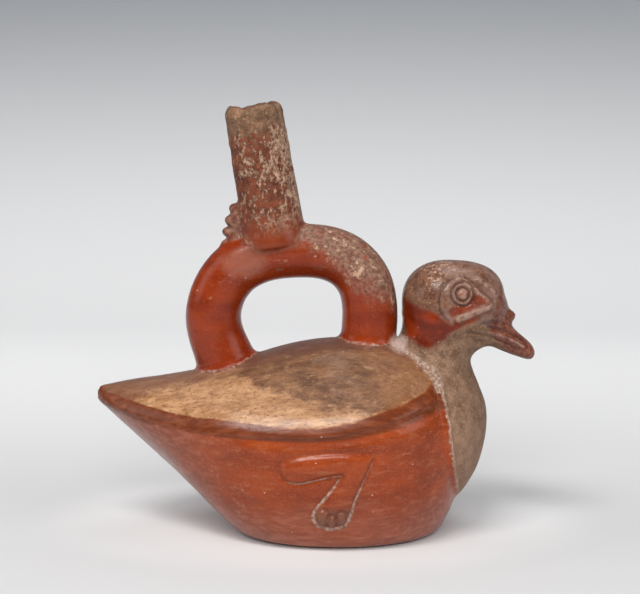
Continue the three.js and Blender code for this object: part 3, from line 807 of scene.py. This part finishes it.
RUBBED = (0.125, 0.052, 0.033), (0.265, 0.145, 0.098)
# The shoulder's paler colour is partly a bloom on the slip and partly a painted sheen.
RUBBED_FLAKE, SHOULDER_BLOOM_AND_SHEEN = (0.5, 0.31, 0.21), (0.34, 0.165, 0.115)
# On the face, the darkest colour is painted shade for the cuts, and the palest is wear with a painted
# highlight on the ridges.
CROWN_FLAKE, FACE_CUT_SHADE, FACE_WEAR_AND_HIGHLIGHT = (0.4, 0.24, 0.165), (0.055, 0.022, 0.016), (0.33, 0.2, 0.155)
# The first colour darkens the leg's foot as grime and the spout's crease as painted shade.
GRIME_AND_SHADE, PALE = (0.135, 0.075, 0.05), ((0.25, 0.155, 0.115), (0.5, 0.37, 0.3))
POCKET_CRUST, SCUFF, SPECK = (0.52, 0.39, 0.34), (0.42, 0.24, 0.17), (0.62, 0.46, 0.36)
PIT, CHIP, BARE_CLAY = (0.06, 0.028, 0.018), (0.46, 0.235, 0.13), (0.16, 0.075, 0.045)


class Graph:
    """Small helpers to write a node tree as expressions."""

    def __init__(self, tree):
        self.tree = tree
        self.position = self.node("ShaderNodeTexCoord").outputs["Object"]

    def node(self, kind, inputs=None, **settings):
        made = self.tree.nodes.new(kind)
        for key, value in settings.items():
            setattr(made, key, value)
        for key, value in (inputs or {}).items():
            self.put(made.inputs[key], value)
        return made

    def put(self, socket, value):
        if isinstance(value, bpy.types.NodeSocket):
            self.tree.links.new(value, socket)
        else:
            socket.default_value = value

    def math(self, operation, a, b=0.0):
        return self.node("ShaderNodeMath", {0: a, 1: b}, operation=operation).outputs[0]

    def mul(self, a, b):
        return self.math("MULTIPLY", a, b)

    def add(self, a, b):
        return self.math("ADD", a, b)

    def more(self, a, b):
        return self.math("MAXIMUM", a, b)

    def rest(self, share):
        """What a share leaves of 1."""
        return self.add(1.0, self.mul(share, -1.0))

    def oval(self, first, second, centre, sizes):
        """0 at an oval's centre, 1 on its edge and more outside it."""
        squares = [
            self.math("POWER", self.mul(self.add(value, -middle), 1 / size), 2.0)
            for value, middle, size in zip((first, second), centre, sizes)
        ]
        return self.add(*squares)

    def attribute(self, name):
        return self.node("ShaderNodeAttribute", attribute_name=name).outputs["Fac"]

    def axes(self):
        return tuple(self.node("ShaderNodeSeparateXYZ", {0: self.position}).outputs)

    def ramp(self, value, low, high):
        """0 below low, 1 above high, smooth between. low may be over high, to turn it round."""
        turned = float(low > high)
        inputs = {"Value": value, "From Min": min(low, high), "From Max": max(low, high)}
        inputs.update({"To Min": turned, "To Max": 1.0 - turned})
        return self.node("ShaderNodeMapRange", inputs, interpolation_type="SMOOTHSTEP").outputs["Result"]

    def place(self, scale=(1, 1, 1), turn=(0, 0, 0)):
        inputs = {"Vector": self.position, "Scale": scale, "Rotation": turn}
        return self.node("ShaderNodeMapping", inputs).outputs["Vector"]

    def texture(self, kind, size_mm, vector, **inputs):
        inputs["Vector"] = self.position if vector is None else vector
        inputs["Scale"] = 1 / MM / size_mm
        return self.node(kind, inputs)

    def noise(self, size_mm, detail=3.0, rough=0.55, vector=None):
        made = self.texture("ShaderNodeTexNoise", size_mm, vector, Detail=detail, Roughness=rough)
        return made.outputs["Fac"]

    def cells(self, size_mm, vector=None):
        return self.texture("ShaderNodeTexVoronoi", size_mm, vector).outputs["Distance"]

    def wander(self, value, swing, size_mm, detail=4.0, rough=0.55, vector=None):
        """A value that noise moves by up to half a swing either way."""
        noise = self.noise(size_mm, detail, rough, vector)
        return self.add(value, self.mul(self.add(noise, -0.5), swing))

    def mix(self, share, a, b):
        made = self.node("ShaderNodeMix", {"Factor": share}, data_type="RGBA")
        for socket, value in zip([s for s in made.inputs if s.type == "RGBA"], (a, b)):
            self.put(socket, (*value, 1.0) if isinstance(value, tuple) else value)
        return [s for s in made.outputs if s.type == "RGBA"][0]

    def blend(self, value, low, high, pair):
        """From a pair's first colour to its second as a value goes from low to high."""
        return self.mix(self.ramp(value, low, high), *pair)

    def lay(self, colour, value, low, high, share, other):
        """Lays a share of another colour where a value has gone from low to high."""
        return self.mix(self.mul(self.ramp(value, low, high), share), colour, other)


def read_zones(g):
    """What several paints share: places in metres, zones, worn places and noises."""
    at = SimpleNamespace()
    at.x, at.y, at.z = g.axes()
    for name, size, swing, low, high in (
        ("wing", 5, 1.6, -0.3, 0.5),
        ("breast", 4, 0.9, -0.2, 0.4),
        ("head", 5, 5.0, -0.8, 1.2),
        ("cheek", 6, 5.0, -1.2, 1.4),
        ("eye", 3, 2.2, -0.4, 1.0),
        ("bill", 3, 1.5, -1.0, 1.2),
    ):
        ragged_edge = g.wander(g.attribute("zone_" + name), swing, size, 4, 0.6)
        setattr(at, name, g.ramp(ragged_edge, low, high))
    at.spout = g.ramp(g.attribute("zone_spout"), -1.2, 1.0)
    at.stirrup = g.ramp(g.attribute("zone_stirrup"), -1.0, 1.0)
    at.lug = g.mul(g.ramp(g.attribute("zone_lug"), -0.6, 0.6), g.ramp(at.x, -0.024, -0.026))
    at.share = g.attribute("wing_share")
    at.up = g.attribute("spout_along")
    at.face = g.mul(at.head, at.breast)
    at.open_stirrup = g.mul(at.stirrup, g.rest(at.spout))

    at.streaks = g.noise(10, 5, 0.62, g.place((0.3, 1, 1.2), (0, 0.15, 0)))
    at.fine_streaks = g.noise(2.4, 5, 0.65, g.place((0.22, 1, 1.2), (0, 0.1, 0)))
    at.grain = g.noise(0.75, 3, 0.7)
    at.pits = g.ramp(g.cells(3.4, g.place((1, 1, 1), (0.4, 0.2, 0.9))), 0.1, 0.06)
    at.deposit = g.ramp(g.wander(g.attribute("pale"), 1.1, 1.6, 5, 0.7), 0.3, 0.8)

    drawn_up = g.noise(2.1, 7, 0.78, g.place((1.2, 1.2, 0.75), (0, 0.16, 0)))
    flaky = g.add(drawn_up, g.mul(g.noise(9, 3), 0.35))
    more_in_front = g.add(g.mul(g.add(at.x, 0.021), 5.0), g.mul(g.add(at.up, -0.5), 0.06))
    flaky = g.ramp(g.add(flaky, more_in_front), 0.66, 0.72)
    at.flaky = g.mul(flaky, g.mul(g.ramp(at.up, 0.1, 0.34), at.spout))
    at.crusted = g.mul(g.ramp(g.wander(at.up, 0.75, 5, 6, 0.75), 0.76, 0.92), at.spout)
    upper_front = g.wander(g.add(g.mul(at.x, 0.72), g.add(at.z, -0.1)), 0.024, 10, 5, 0.65)
    at.rubbed = g.mul(g.ramp(upper_front, 0.008, 0.019), at.open_stirrup)
    return at


def slip_paint(g, at):
    """Burnished slip: red, streaked along the vessel, pinker and duller low down and at the tail."""
    slip = g.blend(at.streaks, 0.3, 0.7, SLIP)
    slip = g.lay(slip, at.fine_streaks, 0.5, 0.72, 0.5, SLIP_STREAK)
    slip = g.lay(slip, at.grain, 0.52, 0.7, 0.3, SLIP_DUST)
    slip = g.lay(slip, at.grain, 0.46, 0.3, 0.35, SLIP_SHADE)
    low = g.ramp(g.wander(at.z, 0.022, 14), 0.026, 0.004)
    tail = g.ramp(g.wander(at.x, 0.03, 22), -0.018, -0.06)
    dull = g.blend(at.fine_streaks, 0.35, 0.7, DULL_SLIP)
    slip = g.mix(g.mul(g.more(low, tail), 0.62), slip, dull)
    # The stirrup keeps a deeper red.
    deep = g.blend(at.streaks, 0.3, 0.7, DEEP_SLIP)
    deep = g.lay(deep, at.grain, 0.54, 0.7, 0.3, DEEP_SLIP_DUST)
    return g.mix(g.mul(at.stirrup, 0.9), slip, deep)


def wing_paint(g, at):
    """Buff paint with dark pits and scratches, brown above, in front and at the tail."""
    drawn_out = g.noise(4.5, 6, 0.7, g.place((0.4, 1, 1)))
    brown = g.blend(drawn_out, 0.34, 0.66, BROWN)
    brown = g.lay(brown, g.noise(11, 4), 0.52, 0.66, 0.55, GREYED_BROWN)
    brown = g.lay(brown, g.wander(at.x, 0.02, 9, 3), 0.018, 0.036, 0.6, WARM_BROWN)
    behind = g.wander(g.mul(at.x, -1.0), 0.1, 13, 6, 0.72, g.place((0.6, 1, 1)))
    behind = g.add(behind, g.mul(g.add(at.share, -1.2), -0.23))
    tail = g.ramp(g.wander(at.x, 0.02, 7), -0.066, -0.08)
    buff_share = g.mul(g.ramp(behind, -0.01, 0.004), g.add(1.0, g.mul(tail, -0.45)))
    paint = g.mix(buff_share, brown, g.blend(drawn_out, 0.36, 0.66, BUFF))
    scratches = g.noise(1.0, 4, 0.75, g.place((0.45, 1, 1)))
    patches = g.noise(2.8, 5, 0.7, g.place((0.6, 1, 1), (0.2, 0.1, 0.4)))
    paint = g.lay(paint, scratches, 0.54, 0.64, 0.75, DARK_SCRATCH)
    paint = g.lay(paint, patches, 0.55, 0.68, 0.5, DARK_PATCH)
    paint = g.lay(paint, patches, 0.44, 0.34, 0.35, PALE_PATCH)
    paint = g.lay(paint, scratches, 0.44, 0.34, 0.3, PALE_SCRATCH)
    off_spine = g.wander(g.math("ABSOLUTE", at.y), 0.014, 6)
    return g.lay(paint, off_spine, 0.019, 0.011, 0.65, SPINE_BROWN)


def lip_paint(g, at, colour):
    """Brown streaks on the lip, between the wall's groove and the wing's panel."""
    lip = g.mul(g.ramp(at.share, 0.93, 0.95), g.mul(g.rest(at.wing), g.ramp(at.x, 0.06, 0.05)))
    lip = g.mul(lip, g.mul(g.rest(at.stirrup), g.rest(at.breast)))
    return g.mix(g.mul(lip, 0.85), colour, g.blend(at.fine_streaks, 0.4, 0.65, LIP))


def breast_paint(g, at):
    """Grey-brown, finely speckled, and lighter low down."""
    grey = g.blend(g.noise(5, 5, 0.65), 0.35, 0.68, GREY)
    grey = g.lay(grey, g.noise(0.9, 3, 0.75), 0.53, 0.66, 0.62, GREY_SPECK)
    fine_pits = g.noise(0.8, 3, 0.75, g.place((1, 1, 1), (0.5, 0.3, 0.1)))
    grey = g.lay(grey, fine_pits, 0.56, 0.68, 0.6, GREY_PIT)
    grey = g.lay(grey, g.noise(9, 4, 0.7), 0.55, 0.68, 0.45, GREY_CLOUD)
    return g.lay(grey, at.z, 0.056, 0.036, 0.35, GREY_BELOW)


def head_paint(g, at):
    """A brown wash over the slip, a red cheek and eye field, and a dark bill."""
    wash = g.blend(g.noise(3.2, 6, 0.7), 0.35, 0.66, WASH)
    wash = g.lay(wash, at.grain, 0.5, 0.68, 0.5, WASH_DUST)
    haze = g.mul(g.ramp(at.x, 0.046, 0.052), g.ramp(g.noise(4, 4), 0.35, 0.6))
    wash = g.mix(g.mul(haze, 0.45), wash, WASH_HAZE)
    red = g.blend(g.noise(6, 4), 0.35, 0.65, CHEEK_RED)
    paint = g.mix(at.cheek, wash, red)
    paint = g.mix(g.mul(at.eye, 0.8), paint, red)
    bill = g.blend(g.noise(2.2, 5, 0.65), 0.35, 0.66, BILL)
    bill = g.lay(bill, at.grain, 0.52, 0.68, 0.4, BILL_DUST)
    return g.mix(at.bill, paint, bill)


def spout_paint(g, at, colour):
    """Red at the foot, dark slip with pale flakes above it, a smooth crust at the rim, and the lug."""
    slip = g.blend(g.noise(4, 5, 0.65), 0.35, 0.65, SPOUT_SLIP)
    slip = g.lay(slip, g.wander(at.up, 0.5, 7), 0.34, 0.12, 0.8, SPOUT_FOOT_RED)
    colour = g.mix(g.mul(at.spout, g.ramp(at.up, 0.02, 0.1)), colour, slip)
    colour = g.mix(at.flaky, colour, g.blend(g.noise(1.4, 4, 0.7), 0.36, 0.62, SPOUT_FLAKE))
    crust = g.blend(g.noise(3.0, 6, 0.7), 0.35, 0.65, CRUST)
    crust = g.lay(crust, at.grain, 0.52, 0.68, 0.5, CRUST_DUST)
    colour = g.mix(g.mul(at.crusted, 0.9), colour, crust)
    lug_paint = g.blend(g.noise(2.5, 5, 0.65), 0.38, 0.62, LUG_PAINT)
    return g.mix(g.mul(at.lug, 0.85), colour, lug_paint)


def stirrup_wear(g, at, colour):
    """Rubbed, flaked patches on the stirrup's upper front, and a paler patch on its shoulder by the lug:
    partly a bloom, partly a painted sheen.
    """
    flakes = g.add(g.noise(2.4, 6, 0.72), g.mul(g.noise(9, 2), 0.3))
    rubbed = g.blend(g.noise(1.6, 5, 0.7), 0.38, 0.62, RUBBED)
    colour = g.mix(g.mul(at.rubbed, g.ramp(flakes, 0.46, 0.6)), colour, rubbed)
    colour = g.mix(g.mul(at.rubbed, g.ramp(flakes, 0.72, 0.77)), colour, RUBBED_FLAKE)
    # The paler shoulder patch: partly a bloom, partly a painted sheen.
    bloom_and_sheen = g.wander(g.oval(at.x, at.z, (-0.0285, 0.1095), (0.011, 0.007)), 1.6, 4, 5, 0.7)
    bloom_and_sheen = g.mul(g.ramp(bloom_and_sheen, 1.2, 0.1), at.open_stirrup)
    return g.mix(g.mul(bloom_and_sheen, 0.36), colour, SHOULDER_BLOOM_AND_SHEEN)


def face_wear(g, at, colour):
    """Pink flakes on the crown, painted shade in the face's cuts, and wear with a painted highlight on its
    ridges.
    """
    flakes = g.add(g.mul(g.attribute("crown"), 0.15), g.noise(1.5, 5, 0.72))
    colour = g.mix(g.mul(at.face, g.ramp(flakes, 0.65, 0.72)), colour, CROWN_FLAKE)
    carved = g.attribute("carved")
    # Painted shade: the face's cuts are darkened.
    cuts = g.mul(at.face, g.ramp(carved, -0.15, -0.6))
    colour = g.mix(g.mul(cuts, 0.55), colour, FACE_CUT_SHADE)
    # Wear with a painted highlight: the face's raised lines are paled.
    ridges = g.mul(g.ramp(carved, 0.28, 0.75), g.ramp(g.noise(2.0, 5, 0.7), 0.36, 0.6))
    return g.mix(g.mul(g.mul(at.face, ridges), 0.7), colour, FACE_WEAR_AND_HIGHLIGHT)


def deposits_and_losses(g, at, colour):
    """Grime on the leg's foot, painted shade in the crease at the spout's foot, pale crust in the creases,
    scuffs, specks, pits, the chip, and bare clay inside.
    """
    # Grime on the leg's foot and painted shade in the spout's crease.
    colour = g.mix(g.mul(g.attribute("grime_and_shade"), 0.55), colour, GRIME_AND_SHADE)
    colour = g.mix(g.mul(at.deposit, 0.8), colour, g.blend(g.noise(1.2, 3), 0.4, 0.6, PALE))
    pocket = g.add(g.attribute("pocket"), g.mul(g.noise(3.5, 5, 0.65), 1.3))
    colour = g.lay(colour, pocket, 0.95, 1.55, 0.75, POCKET_CRUST)
    scuff_grain = g.ramp(g.noise(1.3, 4, 0.75, g.place((0.5, 1, 1))), 0.5, 0.64)
    scuffs = g.mul(g.ramp(g.noise(19, 3), 0.64, 0.72), scuff_grain)
    colour = g.mix(g.mul(scuffs, 0.55), colour, SCUFF)
    colour = g.lay(colour, g.cells(7.5), 0.05, 0.03, 0.7, SPECK)
    colour = g.mix(g.mul(at.pits, 0.45), colour, PIT)
    colour = g.mix(g.mul(g.attribute("chip"), 0.6), colour, CHIP)
    return g.mix(g.mul(g.attribute("inside"), 0.9), colour, BARE_CLAY)


def roughness_and_relief(g, at):
    """Burnished slip is glossy; the neck, spout, wings, rubbed places and deposits are matt and rough."""
    neck_only = g.mul(at.breast, g.rest(at.head))
    matt = g.more(g.mul(at.spout, g.ramp(at.up, 0.1, 0.4)), neck_only)
    matt = g.more(matt, g.mul(at.deposit, 0.8))
    matt = g.more(matt, g.mul(at.rubbed, 0.6))
    by_lip = g.ramp(at.share, 1.16, 1.09)  # the wings are burnished next to the lip
    rough = g.add(0.24, g.mul(matt, 0.45))
    rough = g.add(rough, g.mul(g.mul(at.wing, 0.16), g.rest(by_lip)))
    rough = g.wander(rough, 0.16, 3)

    relief = g.mul(g.noise(1.6, 5, 0.6), 0.035)
    relief = g.add(relief, g.mul(at.fine_streaks, 0.045))
    relief = g.add(relief, g.mul(g.add(at.flaky, g.mul(at.crusted, 0.4)), 0.14))
    coarse = g.more(matt, g.mul(at.wing, g.add(1.0, g.mul(by_lip, -0.95))))
    relief = g.add(relief, g.mul(g.mul(coarse, g.noise(0.9, 4, 0.72)), 0.22))
    return rough, g.add(relief, g.mul(at.pits, -0.12))


def clay_material():
    material = bpy.data.materials.new("fired_clay")
    material.use_nodes = True
    material.node_tree.nodes.clear()
    g = Graph(material.node_tree)
    at = read_zones(g)
    colour = g.mix(at.wing, slip_paint(g, at), wing_paint(g, at))
    colour = lip_paint(g, at, colour)
    neck_and_head = g.mix(at.head, breast_paint(g, at), head_paint(g, at))
    colour = g.mix(at.breast, colour, neck_and_head)
    for layer in (spout_paint, stirrup_wear, face_wear, deposits_and_losses):
        colour = layer(g, at, colour)
    rough, relief = roughness_and_relief(g, at)
    bump = g.node("ShaderNodeBump", {"Strength": 0.8, "Distance": 2.2 * MM, "Height": relief})
    looks = {"Base Color": colour, "Roughness": rough, "Specular IOR Level": 0.32}
    surface = g.node("ShaderNodeBsdfPrincipled", {**looks, "Normal": bump.outputs[0]})
    g.node("ShaderNodeOutputMaterial", {"Surface": surface.outputs[0]})
    return material


# ---- the vessel

vertices, triangles, zones = build_vessel()
vessel = mesh_object("vessel_clay", vertices, triangles)
for name, values in zones.items():
    set_attribute(vessel.data, name, values)
vessel.data.materials.append(clay_material())
print("vessel", len(vertices), "vertices", len(triangles), "triangles")
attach(vessel, "root")
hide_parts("vessel")

# ---- the photographer's table, in metres

PAPER_FRONT, PAPER_TOP, PAPER_HALF_WIDTH = -1.6, 3.2, 2.4
BEND_START, BEND_RADIUS = 0.55, 0.7


def paper_material():
    """Pale paper with painted light: painted shade darker at the floor's front and up the backdrop, and a
    painted pool of light round the vessel.
    """
    material = bpy.data.materials.new("paper")
    material.use_nodes = True
    g = Graph(material.node_tree)
    x, y, z = g.axes()
    # Painted shade: the floor is darker in front, lighter towards the back.
    shade = g.blend(y, -0.05, 0.45, ((0.62, 0.62, 0.625), (0.95, 0.95, 0.955)))
    # Painted shade: the backdrop darkens upwards.
    shade = g.mix(g.ramp(z, -0.05, 0.36), shade, (0.27, 0.285, 0.31))
    # A painted pool of light round the vessel, lightening the shade under it.
    painted_light_pool = g.oval(x, y, (0, 0.015), (0.12, 0.085))
    shade = g.mix(g.ramp(painted_light_pool, 1.1, 0.1), shade, (0.8, 0.8, 0.805))
    surface = material.node_tree.nodes["Principled BSDF"]
    g.put(surface.inputs["Base Color"], shade)
    g.put(surface.inputs["Roughness"], 0.9)
    return material


def sweep():
    """A seamless pale sweep: floor, a wide bend, and a backdrop."""
    profile = [(PAPER_FRONT, 0.0), (BEND_START, 0.0)]
    for t in np.linspace(0, math.pi / 2, 16)[1:]:
        profile.append((BEND_START + BEND_RADIUS * math.sin(t), BEND_RADIUS - BEND_RADIUS * math.cos(t)))
    profile.append((BEND_START + BEND_RADIUS, PAPER_TOP))
    points = [(side * PAPER_HALF_WIDTH, y, z) for y, z in profile for side in (-1, 1)]
    faces = [(2 * i, 2 * i + 1, 2 * i + 3, 2 * i + 2) for i in range(len(profile) - 1)]
    mesh = bpy.data.meshes.new("sweep")
    mesh.from_pydata(points, [], faces)
    mesh.polygons.foreach_set("use_smooth", np.ones(len(faces), bool))
    mesh.materials.append(paper_material())
    made = bpy.data.objects.new("sweep", mesh)
    bpy.context.scene.collection.objects.link(made)
    return made


sweep()


def softbox(name, place, aim, width, height, power, colour=(1, 1, 1), glint=True):
    """A lamp's soft panel. Only the ones with a glint show in the clay's gloss."""
    lamp = bpy.data.lights.new(name, "AREA")
    lamp.shape = "RECTANGLE"
    lamp.size, lamp.size_y = width, height
    lamp.energy = power
    lamp.color = colour
    made = bpy.data.objects.new(name, lamp)
    made.location = place
    made.rotation_euler = (Vector(aim) - Vector(place)).to_track_quat("-Z", "Y").to_euler()
    made.visible_glossy = glint
    bpy.context.scene.collection.objects.link(made)


softbox("key", (-0.28, -0.67, 1.14), (0, 0.02, 0.06), 0.6, 0.3, 10.0, (1.0, 0.98, 0.95))
softbox("front", (-0.05, -1.3, 0.72), (0, 0, 0.05), 1.0, 0.5, 10.8, (1.0, 0.99, 0.97), glint=False)
softbox("backdrop", (0, 0.5, 1.0), (0, 1.25, 0.35), 1.6, 0.3, 1.1, glint=False)
softbox("top", (0.1, 0.25, 1.2), (0, 0, 0.06), 0.6, 0.5, 2.0, (1.0, 1.0, 1.0))
softbox("right", (1.1, -0.7, 0.7), (0, 0, 0.08), 0.8, 0.8, 4.5, (0.98, 0.99, 1.0))
softbox("left", (-1.1, -0.2, 0.6), (0, 0, 0.08), 0.6, 0.7, 2.0, (1.0, 1.0, 1.0))

world = bpy.data.worlds.new("room")
world.use_nodes = True
sky = world.node_tree.nodes["Background"]
sky.inputs["Color"].default_value = (0.95, 0.97, 1.0, 1)
sky.inputs["Strength"].default_value = 0.3
world.cycles_visibility.glossy = False
bpy.context.scene.world = world
bpy.context.scene.view_settings.view_transform = "Standard"

# ---- camera

YAW, PITCH, DISTANCE, LENS = math.radians(1.0), math.radians(8.5), 0.65, 90.7
middle = Vector((0, 0, 0.083))
towards_eye = Vector(
    (math.sin(YAW) * math.cos(PITCH), -math.cos(YAW) * math.cos(PITCH), math.sin(PITCH))
)
lens = bpy.data.cameras.new("camera")
lens.lens = LENS
lens.sensor_width = 36
lens.shift_x, lens.shift_y = 0.0045, 0.046
camera = bpy.data.objects.new("camera", lens)
camera.location = middle + DISTANCE * towards_eye
camera.rotation_euler = (-towards_eye).to_track_quat("-Z", "Y").to_euler()
bpy.context.scene.collection.objects.link(camera)
bpy.context.scene.camera = camera
